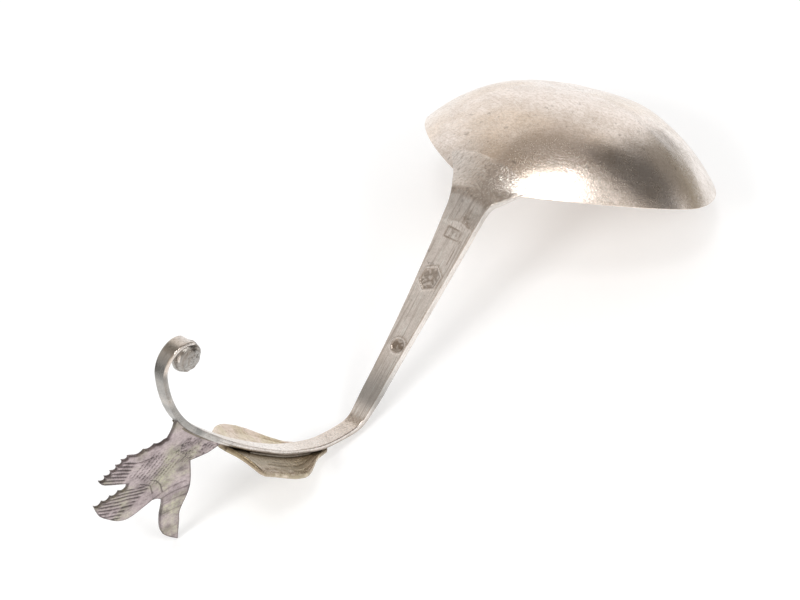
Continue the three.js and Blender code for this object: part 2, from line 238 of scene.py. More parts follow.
def bowl_height(x, y):
    """Height of the bowl's outer surface over a point of its plan, carried on outside the rim."""
    length = NEAR if y < 0 else FAR
    low, high = 1e-3, 3.0
    for _ in range(26):
        share = (low + high) / 2
        power_x, power_y = outline_powers(y, share)
        size = (abs(x) / HALF_WIDTH / share) ** (2 / power_x) + (abs(y) / length / share) ** (2 / power_y)
        low, high = (share, high) if size > 1 else (low, share)
    dip = SIDE_DIP * (x / HALF_WIDTH) ** 2 + (NEAR_DIP * (y / length) ** 2 if y < 0 else 0)
    return DEPTH * (1 - share ** CROWN) - dip + hand_raised(x, y, share)


def to_bowl(point):
    return BOWL_TURN.transposed() @ (point - BOWL_AT)


def from_bowl(point):
    return BOWL_TURN @ point + BOWL_AT


def smooth_max(a, b, reach):
    """The larger of two heights, rounded where they are closer than a reach."""
    overlap = max(reach - abs(a - b), 0.0)
    return max(a, b) + overlap * overlap / (4 * reach)


# Mesh helpers

def make(name, points, faces, material, node, groove_and_shade_values=None, greys=None):
    """A piece from points in the spoon's frame, with two values a point: how dark its grooves and painted
    shade are, and how grey its tarnish and painted shade are.
    """
    mesh = bpy.data.meshes.new(name)
    mesh.from_pydata([place(p) for p in points], [], faces)
    for layer_name, values in (("groove_and_shade", groove_and_shade_values), ("grey", greys)):
        if values is not None:
            layer = mesh.attributes.new(layer_name, 'FLOAT', 'POINT')
            layer.data.foreach_set("value", values)
    mesh.validate()
    mesh.shade_smooth()
    mesh.materials.append(material)
    obj = bpy.data.objects.new(name, mesh)
    bpy.context.collection.objects.link(obj)
    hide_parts(node)
    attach(obj, "root")


def tube_faces(rings, count):
    """Quads between closed rings of the same size, with one face over each end."""
    faces = []
    for r in range(rings - 1):
        for i in range(count):
            j = (i + 1) % count
            a, b = r * count + i, r * count + j
            faces.append((a, b, b + count, a + count))
    last = (rings - 1) * count
    faces.append(tuple(range(count - 1, -1, -1)))
    faces.append(tuple(range(last, last + count)))
    return faces


# Materials

def add_node(tree, kind, inputs=None, **settings):
    made = tree.nodes.new(kind)
    for key, value in settings.items():
        setattr(made, key, value)
    for key, value in (inputs or {}).items():
        socket = made.inputs[key]
        if isinstance(value, bpy.types.NodeSocket):
            tree.links.new(value, socket)
        else:
            socket.default_value = value
    return made


def maths(tree, operation, a, b, clamp=False):
    return add_node(tree, 'ShaderNodeMath', {0: a, 1: b}, operation=operation, use_clamp=clamp).outputs[0]


def blend(tree, factor, a, b):
    """A colour mix. Inputs 6 and 7 and output 2 are the sockets of a mix node that are colours."""
    made = add_node(tree, 'ShaderNodeMix', {'Factor': factor}, data_type='RGBA')
    for socket, value in ((made.inputs[6], a), (made.inputs[7], b)):
        if isinstance(value, bpy.types.NodeSocket):
            tree.links.new(value, socket)
        else:
            socket.default_value = (*value, 1)
    return made.outputs[2]


def spread(tree, value, low, high):
    """Rises smoothly from 0 at low to 1 at high."""
    made = add_node(tree, 'ShaderNodeMapRange', {
        'Value': value, 'From Min': low, 'From Max': high, 'To Min': 0.0, 'To Max': 1.0},
        interpolation_type='SMOOTHSTEP')
    return made.outputs['Result']


def clouds(tree, place_at, scale, detail, rough):
    return add_node(tree, 'ShaderNodeTexNoise', {
        'Vector': place_at, 'Scale': scale, 'Detail': detail, 'Roughness': rough}).outputs['Fac']


def strokes(tree, place_at, turn, wide, long):
    """Fine strokes along the y axis of a turned frame, with their width and length in millimetres."""
    vector = add_node(tree, 'ShaderNodeMapping', {
        'Vector': place_at, 'Rotation': turn, 'Scale': (wide * MM, long * MM, wide * MM)},
        vector_type='TEXTURE').outputs[0]
    return clouds(tree, vector, scale=1.0, detail=2, rough=0.6)


def silver(name, light, dull, tint, rough, turns, scratch, dents, speckle, relief=0.3, patch=55,
           groove_and_shade=None, grey=None):
    """Worn silver: mottled tarnish, fine scratches, pits and soft dents, all in the object's own space.

    light, dull and tint are its colours, turns are the directions of its scratches, patch is how many
    patches of the tint fit in a metre, and the last two colours paint the grooves and the tarnish of its
    mesh, and the painted shade that its mesh carries.
    """
    material = bpy.data.materials.new(name)
    material.use_nodes = True
    tree = material.node_tree
    shader = tree.nodes['Principled BSDF']
    at = add_node(tree, 'ShaderNodeTexCoord').outputs['Object']

    def times(a, b, clamp=False):
        return maths(tree, 'MULTIPLY', a, b, clamp)

    def plus(a, b):
        return maths(tree, 'ADD', a, b)

    mottle = spread(tree, clouds(tree, at, scale=260, detail=4, rough=0.65), 0.38, 0.68)
    grain = spread(tree, clouds(tree, at, scale=1500, detail=3, rough=0.65), 0.42, 0.66)
    patches = spread(tree, clouds(tree, at, scale=patch, detail=3, rough=0.55), 0.42, 0.62)
    dust = spread(tree, clouds(tree, at, scale=3600, detail=1, rough=0.5), 0.4, 0.7)
    spots = spread(tree, clouds(tree, at, scale=700, detail=2, rough=0.5), 0.66, 0.74)
    drawn = spread(tree, strokes(tree, at, turns[0], wide=0.3, long=9.0), 0.5, 0.68)
    lines = None
    for turn in turns:
        one = spread(tree, strokes(tree, at, turn, wide=0.22, long=3.6), 0.54, 0.7)
        lines = one if lines is None else maths(tree, 'MAXIMUM', lines, one)

    pit = tuple(0.35 * c for c in dull)
    glint = tuple(min(1, c * 1.12) for c in light)
    dullness = times(plus(times(mottle, 0.6), times(grain, 0.7)), speckle)
    color = blend(tree, patches, light, tint)
    color = blend(tree, times(dullness, 1.0, clamp=True), color, dull)
    color = blend(tree, times(spots, 0.5), color, pit)
    color = blend(tree, times(dust, 0.55 * speckle), color, dull)
    color = blend(tree, times(lines, 0.4 * scratch, clamp=True), color, glint)
    color = blend(tree, times(drawn, 0.46 * scratch, clamp=True), color, dull)
    roughness = plus(rough, times(dullness, 0.16))
    if grey:
        # Greyed by the mesh's tarnish and by painted shade.
        tarnish_and_shade = add_node(tree, 'ShaderNodeAttribute', attribute_name="grey").outputs['Fac']
        color = blend(tree, tarnish_and_shade, color, grey)
    if groove_and_shade:
        # Darkened in the mesh's grooves and by painted shade.
        groove = add_node(tree, 'ShaderNodeAttribute', attribute_name="groove_and_shade").outputs['Fac']
        color = blend(tree, times(groove, 0.8, clamp=True), color, groove_and_shade)
        roughness = plus(roughness, times(groove, 0.2))
    tree.links.new(color, shader.inputs['Base Color'])
    tree.links.new(roughness, shader.inputs['Roughness'])
    shader.inputs['Metallic'].default_value = 1.0

    soft = add_node(tree, 'ShaderNodeBump', {
        'Height': clouds(tree, at, scale=230, detail=3, rough=0.5), 'Strength': dents, 'Distance': 0.0005})
    height = plus(times(lines, scratch), times(grain, 0.6))
    fine = add_node(tree, 'ShaderNodeBump', {
        'Height': height, 'Strength': relief, 'Distance': 0.00006, 'Normal': soft.outputs[0]})
    tree.links.new(fine.outputs[0], shader.inputs['Normal'])
    return material


def turned(*angles):
    return (LIE @ Euler([deg(a) for a in angles]).to_matrix()).to_euler()


HATCHED = (turned(-20, 10, 62), turned(-25, -15, -28), turned(-30, 20, 100))
LENGTHWISE = (turned(STEM_SLOPE, 0, 0), turned(STEM_SLOPE, 0, 1.5))
bowl_silver = silver(
    "bowl_silver", light=(0.99, 0.91, 0.86), dull=(0.66, 0.57, 0.49), tint=(0.92, 0.80, 0.69),
    rough=0.18, turns=HATCHED, scratch=0.85, dents=0.1, speckle=0.62, relief=0.13)
stem_silver = silver(
    "stem_silver", light=(0.98, 0.91, 0.86), dull=(0.62, 0.56, 0.51), tint=(0.92, 0.82, 0.73),
    rough=0.2, turns=LENGTHWISE, scratch=1.8, dents=0.1, speckle=0.4, relief=0.2,
    groove_and_shade=(0.24, 0.18, 0.13), grey=(0.22, 0.22, 0.21))
leaf_silver = silver(
    "leaf_silver", light=(0.83, 0.71, 0.62), dull=(0.49, 0.39, 0.28), tint=(0.72, 0.65, 0.46),
    rough=0.22, turns=HATCHED, scratch=0.5, dents=0.25, speckle=0.6, patch=160,
    groove_and_shade=(0.12, 0.085, 0.05), grey=(0.31, 0.25, 0.16))
bird_silver = silver(
    "bird_silver", light=(0.57, 0.485, 0.49), dull=(0.35, 0.29, 0.29), tint=(0.53, 0.52, 0.37),
    rough=0.3, turns=HATCHED, scratch=0.5, dents=0.4, speckle=0.8, patch=150,
    groove_and_shade=(0.05, 0.04, 0.04))
solder_grey = silver(
    "solder_grey", light=(0.34, 0.30, 0.26), dull=(0.20, 0.17, 0.13), tint=(0.30, 0.26, 0.20),
    rough=0.38, turns=HATCHED, scratch=0.3, dents=0.6, speckle=0.8)


# Bowl

def build_bowl():
    around, outer_rings, lip_steps, inner_rings = 192, 52, 6, 24
    angles = [-2 * math.pi * i / around for i in range(around)]
    outer = [0.004] + [math.sin(math.pi / 2 * r / outer_rings) for r in range(2, outer_rings)] + [1.0]
    rings = [[bowl_point(a, share) for a in angles] for share in outer]
    # A rounded lip joins the outer and the inner surface.
    for step in range(1, lip_steps):
        turn = math.pi * step / lip_steps
        inset = RIM_WALL / 2 * (1 - math.cos(turn))
        lip = [bowl_point(a, 1.0, DEPTH, inset, 0.0) for a in angles]
        rings.append([p - Vector((0, 0, LIP_DROP * math.sin(turn))) for p in lip])
    for r in range(inner_rings, 0, -1):
        share = math.sin(math.pi / 2 * r / inner_rings)
        rings.append([bowl_point(a, share, DEPTH - BOWL_WALL, RIM_WALL) for a in angles])
    points = [from_bowl(p) for ring in rings for p in ring]
    make("bowl_shell", points, tube_faces(len(rings), around), bowl_silver, "bowl")


# Punch marks on the stem

# Places on the stem's back: the distance from the rim, and the distance to the right.
HEXAGON_AT = (18.45, 0.3)
HEXAGON = {"sides": 6, "radius": 2.3, "turn": -0.1, "squeeze": 0.84}
ROUND_AT = (32.0, 1.05)
ROUND_RADIUS = 1.27
SHIELD_AT = (5.6, 2.5)
SHIELD = {"sides": 5, "radius": 2.2, "turn": 0.0}
SQUARE_AT = (9.3, 0.2)
SQUARE = {"sides": 4, "radius": 1.6, "turn": math.pi / 4}
SQUARE_LINE = [(8.3, -1.35), (8.4, 1.6), (10.2, 1.75), (10.3, -1.3), (8.3, -1.35)]
SCRATCH_LINE = [(10.0, 2.2), (12.4, 2.05), (14.8, 2.05)]
# The line, half width, depth and wear of each drawn groove.
GROOVES = ((SQUARE_LINE, 0.2, 0.09, 0.25), (SCRATCH_LINE, 0.13, 0.06, 0.0))
# Stretches with the tongue or with marks, where the mesh is fine, and the whole stretch with marks.
PUNCHED = ((-99, 12), (15, 22), (30, 34))
PUNCHES_START = 2
PUNCHES_END = 35


def from_place(at, s, w):
    return s - at[0], w - at[1]


def polygon_depth(x, y, sides, radius, turn, squeeze=1.0):
    """How far inside a regular outline a point is, in millimetres."""
    along = x * math.cos(turn) + y * math.sin(turn)
    aside = (y * math.cos(turn) - x * math.sin(turn)) / squeeze
    step = 2 * math.pi / sides
    angle = math.atan2(aside, along) % step - step / 2
    return radius * math.cos(step / 2) - math.hypot(along, aside) * math.cos(angle)


def worn(x, y, size):
    """Wear from about -1 to 1 that varies over a surface."""
    return noise.noise(Vector((x * size, y * size, 3.3)))


def near_line(x, y, line):
    """Distance from a point to the nearest part of a line of points."""
    point = Vector((x, y, 0))
    best = 1e9
    for a, b in zip(line, line[1:]):
        start, finish = Vector((*a, 0)), Vector((*b, 0))
        t = intersect_point_line(point, start, finish)[1]
        best = min(best, (start.lerp(finish, min(1, max(0, t))) - point).length)
    return best


def pressed(inside, s, w):
    """Depth and darkness of a punch with a worn figure, at a distance inside its outline."""
    figure = ramp(worn(s, w, 1.9), -0.1, 0.25)
    floor = ramp(inside, -0.02, 0.2)
    rim = ramp(0.34 - abs(inside + 0.26), 0, 0.3)
    line = ramp(0.2 - abs(inside - 0.06), 0, 0.2)
    return floor * (0.17 - 0.1 * figure) - 0.09 * rim, max(0.75 * line, floor * (0.75 - 0.5 * figure))


def faint_marks(s, w):
    """Depth and darkness of a square punch and a shield, nearly gone, and of one long scratch."""
    deep, dark = 0.0, 0.0
    for line, width, depth, wear in GROOVES:
        groove = ramp(width - near_line(s, w, line), 0, width)
        groove *= ramp(worn(s, w, 0.8), -0.4 - wear, 0.05 - wear)
        deep, dark = deep + depth * groove, max(dark, 0.75 * groove)
    shield = polygon_depth(*from_place(SHIELD_AT, s, w), **SHIELD)
    if shield > -0.3:
        figure = ramp(worn(s + 3, w, 1.6), -0.1, 0.3)
        deep += 0.05 * ramp(shield, -0.2, 0.5)
        dark = max(dark, 0.35 * ramp(shield, -0.2, 0.6) * (1 - 0.7 * figure))
    square = polygon_depth(*from_place(SQUARE_AT, s, w), **SQUARE)
    if square > 0:
        dark = max(dark, 0.4 * ramp(worn(s, w, 1.8), 0.0, 0.3) * ramp(square, 0, 0.2))
    return deep, dark


def punch(s, w):
    """Depth of the punch marks and how dark they are, at a distance from the rim and across."""
    deep, dark = 0.0, 0.0
    six = polygon_depth(*from_place(HEXAGON_AT, s, w), **HEXAGON)
    if six > -0.7:
        deep, dark = pressed(six, s, w)
    ring = ROUND_RADIUS - math.hypot(*from_place(ROUND_AT, s, w))
    if ring > -0.7:
        deep, dark = pressed(ring, s + 7, w)
        dark += 0.3 * ramp(ring, 0, 0.2)
    if s < 16 and w > -2:
        deep_too, dark_too = faint_marks(s, w)
        deep, dark = deep + deep_too, max(dark, dark_too)
    return deep, dark


# Handle

# Points along a rounded corner, along the back and along the front of the strip's section.
CORNER_STEPS = 4
BACK_POINTS = 41
FRONT_STEPS = 9
# The radius of the strip's edges before they become round on the hook.
EDGE_RADIUS = 0.22
# How far the root's tip is carried on into the bowl.
ROOT_EXTRA = 4.0
# The strongest painted shade on each side of the hook.
HOOK_SHADE = {"front": 0.84, "right": 0.88, "back": 0.33}

SCROLL_AT = Vector((0.5, -75.5, 15.85))
SCROLL_RADIUS = 2.75
SCROLL_HALF_WIDTH = 2.05


def painted_shade(d, side):
    """How much painted shade greys the strip: near the bowl, before the crease and on the hook."""
    s = d - END["root"]
    near_bowl = 0.07 * ramp(s, -4, 4) + 0.25 * ramp(s, -8, -1) * (1 - ramp(s, 3, 11))
    before_crease = 0.6 * ramp(s, 33, 42) * (1 - ramp(s, 43, 46))
    hook_start = END["shoulder"] + 8
    if side == "right":
        hook = HOOK_SHADE[side] * ramp(d, hook_start, END["riser"] + 2)
        hook *= 1 - ramp(d, END["hook"] + 0.2, END["hook"] + 1.6)
    else:
        hook = HOOK_SHADE[side] * ramp(d, hook_start, END["riser"] + 4)
    if side == "front":
        hook += 0.16 * ramp(d, END["hook"] - 2, END["hook"] + 1)
        hook *= 1 - 0.85 * ramp(d, END["hook"] + 4.6, END["hook"] + 6.0)
    patchy = 0.8 + 0.5 * noise.noise(Vector((s * 0.35, 4.0 * len(side), 2.0)))
    return min(0.95, near_bowl + before_crease + hook * patchy)


def handle_stations():
    """Distances of the strip's sections, close together at the marks and on the scroll."""
    stations = []
    d = -ROOT_EXTRA
    while d < LENGTH:
        stations.append(d)
        s = d - END["root"]
        if d >= END["crown"] or any(low < s < high for low, high in PUNCHED):
            d += 0.16
        elif d < END["crease"] + 2:
            d += 0.45
        elif d < END["riser"]:
            d += 0.7
        else:
            d += 0.35
    return stations + [LENGTH]


def strip_section(half, thick, r):
    """Points around the strip's section with rounded corners, and the side that each is on."""
    ring = []

    def corner(side, height, quarter, steps, face):
        for i in steps:
            a = math.pi / 2 * quarter + math.pi / 2 * i / CORNER_STEPS
            ring.append((side * (half - r) + r * math.cos(a), height + r * math.sin(a), face))

    corner(1, -r, 0, range(CORNER_STEPS), "edge")
    for i in range(BACK_POINTS):
        ring.append(((half - r) * (1 - 2 * i / (BACK_POINTS - 1)), 0.0, "back"))
    corner(-1, -r, 1, range(1, CORNER_STEPS + 1), "edge")
    corner(-1, -thick + r, 2, range(CORNER_STEPS + 1), "front")
    for i in range(1, FRONT_STEPS):
        ring.append(((half - r) * (2 * i / FRONT_STEPS - 1), -thick, "front"))
    corner(1, -thick + r, 3, range(CORNER_STEPS + 1), "front")
    return ring


def laid_on_bowl(point, out, z, d):
    """A point of the root, drawn over the bowl. Its underside and its edges follow its back."""
    over_it = point - out * z
    b = to_bowl(over_it)
    sunk = 0.02 + 0.5 * ramp(-d, 0.5, ROOT_EXTRA)
    lift = smooth_max(b.z, bowl_height(b.x, b.y) - sunk, 1.7) - b.z
    return point + from_bowl(Vector((0, 0, lift))) - from_bowl(Vector((0, 0, 0)))


def build_handle():
    points, groove_and_shade_values, greys = [], [], []
    stations = handle_stations()
    for d in stations:
        at, along, out = back_at(max(d, 0.0))
        if d < 0:
            at = at + along * d
        left, right = strip_edge(d, -1), strip_edge(d, 1)
        middle, half = (left + right) / 2, (right - left) / 2
        thick = strip_thickness(d)
        droop = FLARE_DROOP * flare_share(d)
        rounded = ramp(d, END["shoulder"] - 4, END["shoulder"] + 6)
        r = EDGE_RADIUS + (0.44 * thick - EDGE_RADIUS) * rounded
        s = d - END["root"]
        # A painted shade darkens the lower part of the strip's right side, from before the crease over the
        # shoulder.
        underside = 0.85 * ramp(d, END["stem"] - 6, END["crease"])
        underside *= 1 - ramp(d, END["shoulder"] + 2, END["shoulder"] + 12)
        for x, z, face in strip_section(half, thick, r):
            on_right = x > half - r
            dark = underside if on_right and z < -0.4 * thick else 0.0
            if face == "back" and PUNCHES_START < s < PUNCHES_END:
                deep, dark = punch(s, middle + x)
                z -= deep
            p = at + ACROSS * (middle + x) + out * (z - droop * (x / half) ** 2)
            if d < END["neck"] + 5:
                p = laid_on_bowl(p, out, z, d)
            points.append(p)
            groove_and_shade_values.append(dark)
            # The grey on each face of the strip is painted shade.
            greys.append(painted_shade(d, "right" if on_right else "front" if face == "front" else "back"))
    faces = tube_faces(len(stations), len(points) // len(stations))
    make("handle_strip", points, faces, stem_silver, "handle", groove_and_shade_values, greys)


def stripes(phase, half, soft):
    """Lines at the whole numbers of a phase, with their half width and the width of their soft edge."""
    return ramp(half - abs(phase - round(phase)), 0, soft)


def build_scroll_core():
    """The inside of the scroll, rolled tight: a flattened ball with a spiral groove on its faces."""
    around, rings = 72, 40
    points, groove_and_shade_values, greys = [], [], []
    for r in range(1, rings):
        tilt = math.pi * r / rings
        away = math.sin(tilt)
        for i in range(around):
            angle = -2 * math.pi * i / around
            y, z = math.cos(angle), math.sin(angle)
            groove = stripes(3.2 * away - angle / (2 * math.pi), 0.2, 0.2) * ramp(away, 0.1, 0.3)
            wave = 0.06 * noise.noise(Vector((away * 4, y * 2, z * 2 + r * 0.1)))
            out = 1 - 0.045 * groove + wave
            points.append(SCROLL_AT + Vector((SCROLL_HALF_WIDTH * math.cos(tilt) * out,
                                              SCROLL_RADIUS * away * y * out,
                                              SCROLL_RADIUS * away * z * out)))
            groove_and_shade_values.append(0.5 * groove)
            greys.append(0.72 + 0.5 * wave)
    faces = tube_faces(rings - 1, around)
    make("scroll_core", points, faces, stem_silver, "handle", groove_and_shade_values, greys)


# Leaf

LEAF_START = END["crease"] + 5.5
LEAF_LENGTH = 30.0
LEAF_GAP = 0.12
LEAF_THICKNESS = 0.9
LEAF_RIM_DROP = 0.25
# How far each lobe curls at its widest place, in millimetres.
LEFT_CURL = -1.9
LEFT_WIDEST = 7.6
RIGHT_CURL = 1.2
RIGHT_WIDEST = 6.35
# How far each lobe reaches from the strip's middle, at shares of the leaf's length.
RIGHT_LOBE = [
    (0, 0.35), (0.05, 2.0), (0.1, 2.3), (0.15, 2.7), (0.2, 3.4), (0.25, 4.3), (0.3, 5.2), (0.35, 5.9),
    (0.4, 6.3), (0.5, 6.6), (0.7, 6.6), (0.82, 6.8), (0.86, 6.4), (0.89, 5.2), (0.92, 3.4), (0.95, 2.3),
    (1, 0.9)]
LEFT_LOBE = [
    (0, 0.35), (0.1, 1.6), (0.2, 2.85), (0.25, 3.4), (0.3, 4.4), (0.4, 6.0), (0.45, 6.6), (0.5, 7.05),
    (0.6, 7.5), (0.7, 7.5), (0.75, 7.3), (0.8, 6.85), (0.85, 6.25), (0.9, 5.3), (0.95, 4.0),
    (0.985, 1.6), (1, 0.9)]
# The place of each ridge between the middle and the rim, and its strength.
RIDGES = ((0.55, 0.5), (0.68, 0.8), (0.76, 0.6), (0.86, 1.0))


def leaf_reach(distance, side):
    """How far a lobe reaches at a distance along the strip."""
    share = min(1.0, max(0.0, (distance - LEAF_START) / LEAF_LENGTH))
    lobe = RIGHT_LOBE if side > 0 else LEFT_LOBE
    for (low, reach_low), (high, reach_high) in zip(lobe, lobe[1:]):
        if share <= high:
            return reach_low + (reach_high - reach_low) * (share - low) / (high - low)


def leaf_point(distance, x, depth):
    at, _, out = back_at(distance)
    drop = LEFT_CURL * (x / LEFT_WIDEST) ** 2 if x < 0 else RIGHT_CURL * (x / RIGHT_WIDEST) ** 2
    return at + ACROSS * x - out * (strip_thickness(distance) + LEAF_GAP + drop + depth)


def leaf_ridges(distance, share):
    """Height and darkness of the grooves at a place on the leaf."""
    ridge, dark = 0.0, 0.0
    if share > 0.3:
        for centre, strength in RIDGES:
            wander = 0.025 * noise.noise(Vector((distance * 0.3, centre * 9, 0)))
            worn_out = ramp(noise.noise(Vector((distance * 0.35, centre * 30, 7))), -0.35, 0.1)
            groove = strength * worn_out * ramp(0.045 - abs(share - centre - wander), 0, 0.045)
            groove *= 1 - ramp(distance, LEAF_START + 23.5, LEAF_START + 25)
            ridge += 0.14 * groove
            dark = max(dark, 0.7 * groove)
    if share < -0.3:
        ridge += 0.05 * ramp(0.05 - abs(-share - 0.72), 0, 0.05)
    return ridge, dark


def build_leaf():
    stations, half = 110, 30
    points, groove_and_shade_values, greys = [], [], []
    for i in range(stations):
        distance = LEAF_START + LEAF_LENGTH / 2 * (1 - math.cos(math.pi * i / (stations - 1)))
        strip_half = strip_width(distance) / 2
        # The leaf's end is browned by a painted shadow.
        end_shadow = 0.9 * ramp(distance, LEAF_START + 25.5, LEAF_START + 26.5)
        rubbed = ramp(noise.noise(Vector((distance * 0.45, 3.0, 1.0))), 0.0, 0.3)
        upper, lower = [], []
        for k in range(-half, half + 1):
            share = k / half
            x = share * leaf_reach(distance, share)
            ridge, dark = leaf_ridges(distance, share)
            edge = ramp(abs(share), 0.955, 1.0)
            beside = abs(x - strip_sway(distance)) - strip_half
            # Beside the strip the leaf is darkened by a painted shadow, weaker on the left lobe.
            dark = max(dark * (1 - edge), (0.8 if x > 0 else 0.3) * ramp(0.7 - beside, 0, 0.6))
            brown = ramp(share, 0.1, 0.35) * (1 - 0.45 * ramp(abs(share), 0.6, 0.95)) * (1 - edge)
            # The painted shadow at the leaf's end lies beside the strip on the right.
            brown = max(brown, end_shadow * ramp(share, 0, 0.2))
            if share > 0:
                brown = max(brown, edge * (0.8 - 0.8 * rubbed))
            drop = LEAF_RIM_DROP * edge
            upper.append((leaf_point(distance, x, 0.02 + ridge + drop), dark, brown))
            lower.append((leaf_point(distance, x, LEAF_THICKNESS - drop), 0.0, 0.5))
        for p, dark, brown in upper[::-1] + lower:
            points.append(p)
            groove_and_shade_values.append(dark)
            greys.append(brown)
    faces = tube_faces(stations, 2 * (2 * half + 1))
    make("leaf_plate_ridged", points, faces, leaf_silver, "leaf_plate", groove_and_shade_values, greys)


# Bird

# The figure's own frame: x towards the bowl along the strip, y away from the strip.
RISE = 1.1
LEAN = deg(19.1)
BIRD_AT = END["riser"] - 1.7
BIRD_HALF_THICKNESS = 0.3
BIRD_GRID = 0.17
# Line spacing of the outline, and the shortest gap that it fills.
OUTLINE_STEP = 0.22
OUTLINE_GAP = 0.12


def through(start, points, steps=10):
    """Points on a smooth line from a start through the given ones."""
    line = [start] + points
    made = []
    for i in range(len(line) - 1):
        a = line[max(0, i - 1)]
        b, c = line[i], line[i + 1]
        e = line[min(len(line) - 1, i + 2)]
        for k in range(1, steps + 1):
            t = k / steps
            square, cube = 2 * a - 5 * b + 4 * c - e, 3 * b - a - 3 * c + e
            made.append(0.5 * ((2 * b) + (c - a) * t + square * t * t + cube * t ** 3))
    return made


def scallops(start, end, teeth, depth, steps=8):
    """Points on a row of round teeth between two points."""
    side = Vector((start.y - end.y, end.x - start.x)).normalized()
    made = []
    for i in range(teeth * steps):
        t = i / (teeth * steps)
        bulge = depth * math.sin((i % steps) / steps * math.pi) ** 0.8
        made.append(start.lerp(end, t) + side * bulge)
    return made


def bird_outline():
    def v(x, y):
        return Vector((x, y + RISE))

    line = [Vector((-8, -0.7))]
    line += through(line[-1], [v(-5.4, 1), v(-4.2, 3)])
    # Three stretches of the edge have scallops.
    line += scallops(v(-7.8, 8.3), v(-4.6, 3.2), 3, 0.5)[::-1]
    line += scallops(v(-9.8, 15), v(-9.4, 8.6), 5, 1)[::-1]
    line += through(line[-1], [v(-8.3, 15.2), v(-6.3, 14.7), v(-2.5, 13.4)])
    line += scallops(v(-4.8, 19.8), v(-1.9, 14), 4, 0.7)[::-1]
    line += through(line[-1], [v(-1.9, 20.9), v(0.9, 20.9), v(3.6, 20.5), v(5.3, 19.2), v(6.1, 16.1),
                               v(6.4, 14.5)])
    line += through(line[-1], [v(7.4, 13.8), v(8.9, 14), v(12.2, 16.8), v(16.5, 19.5), v(19, 20),
                               v(22.1, 19.6)])
    line += through(line[-1], [v(18.1, 16.4), v(14.9, 13.9), v(11.3, 9), v(6, 4.9)])
    line += through(line[-1], [v(7.9, 2.5), v(8.7, 0.6), Vector((9.2, 0.3))])
    # The base follows the curve of the strip.
    start, bend, finish = line[-1], Vector((0.8, 1.6)), line[0]
    for k in range(1, 24):
        t = k / 24
        line.append(start * (1 - t) ** 2 + bend * 2 * t * (1 - t) + finish * t * t)
    kept = [line[0]]
    for p in line[1:] + line[:1]:
        gap = (p - kept[-1]).length
        if gap > OUTLINE_GAP:
            pieces = math.ceil(gap / OUTLINE_STEP)
            last = kept[-1]
            kept += [last.lerp(p, (k + 1) / pieces) for k in range(pieces)]
    return kept[:-1]


# Single strokes on the figure with their half width: the wing's joint, the folded foot and the tail's root.
STROKES = [
    ([(1.7, 12.4), (2.9, 12.0), (5.0, 12.4), (7.0, 13.5)], 0.2),
    ([(0.3, 13.8), (2.9, 13.3), (5.0, 14.4)], 0.2),
    ([(3.9, 5.5), (3.7, 6.9)], 0.13),
    ([(4.5, 5.3), (4.3, 6.8)], 0.13),
    ([(5.1, 5.1), (4.9, 6.7)], 0.13),
    ([(5.7, 5.1), (5.5, 6.4)], 0.13),
    ([(-3.4, 8.1), (-5.2, 10.0), (-5.9, 10.4)], 0.16),
]
NECK_BANDS = (13.5, 15.1, 17.1, 20.2)
# The directions across the feathers of the tail and across the bands of the neck.
TAIL_X = 0.2935
TAIL_Y = 0.956
NECK_X = 0.652
NECK_Y = 0.757
TAIL_FEATHER = 0.8
WING_FEATHER = 0.82
SCALE_LENGTH = 0.86
SCALE_WIDTH = 0.72


def engraving(x, y, edge):
    """Depth and patina of the figure's engraving at a point of its plate and a distance from its edge."""
    groove = 0.0
    jitter = 0.12 * worn(x, y, 0.6)
    across_tail = TAIL_X * x + TAIL_Y * y
    tail_line = -5.7 + 0.45 * (y - 10.4)
    if x < tail_line and y > 8.6:
        t = (across_tail - 8.26 + 0.5 * jitter) / TAIL_FEATHER
        if -0.4 < t < 6.6:
            groove = ramp(tail_line - x, 0, 0.5) * stripes(t, 0.34, 0.24)
    if y > 13.9 and x < 3.6 and (x > -5.2 or y > 17):
        # The long feathers of the wing fan out.
        t = (y + (0.66 - 0.02 * (y - 14)) * x + jitter) / 1.15 / WING_FEATHER
        here = ramp(t * WING_FEATHER, 12.6, 13.2) * ramp(3.6 - x, 0, 0.8)
        groove = max(groove, here * stripes(t, 0.36, 0.26) * ramp(worn(x, y, 0.9), -0.7, -0.1))
    body = ramp(x, -4.6, -3.8) * ramp(4.4 - x, 0, 1.5) * ramp(y, 6.2, 7.4) * ramp(13.6 - y, 0, 1)
    if body > 0:
        # Scales on the breast: staggered short arcs.
        u = (-TAIL_Y * x + TAIL_X * y) / SCALE_LENGTH
        v = across_tail / SCALE_WIDTH
        v += 0.5 * (round(u) % 2)
        du, dv = (u - round(u)) * SCALE_LENGTH, (v - round(v)) * SCALE_WIDTH
        arc = 0.13 - abs(math.hypot(du + 0.35, dv) - 0.36)
        strength = 0.9 + 0.8 * worn(x, y, 0.7)
        groove = max(groove, body * strength * ramp(arc, 0, 0.08) * ramp(0.3 - abs(dv), 0, 0.1))
    if x > 6 and y > 9.5:
        across_neck = NECK_X * x + NECK_Y * y
        bow = 0.05 * (NECK_Y * x - NECK_X * y - 1.5) ** 2
        for band in NECK_BANDS:
            groove = max(groove, 0.45 * ramp(0.34 - abs(across_neck - bow - band + jitter), 0, 0.3))
    if y < 6 and x > 0:
        groove = max(groove, 0.7 * ramp(worn(x, y, 2.6), 0.12, 0.32))
    for line, width in STROKES:
        if abs(line[0][0] - x) < 6 and abs(line[0][1] - y) < 4:
            groove = max(groove, ramp(width - near_line(x, y, line), 0, width))
    shade = 0.35 * ramp(2.0 - math.hypot(x - 5.8, (y - 7.8)), 0, 1.5)
    border = 0.6 * ramp(0.32 - edge, 0, 0.2)
    fade = ramp(edge, 0.02, 0.2)
    blotch = 0.3 * ramp(worn(x + 20, y, 0.5), -0.1, 0.4)
    return 0.1 * groove * fade + 0.05 * border, min(1.0, max(0.95 * groove * fade, shade, border) + blotch)


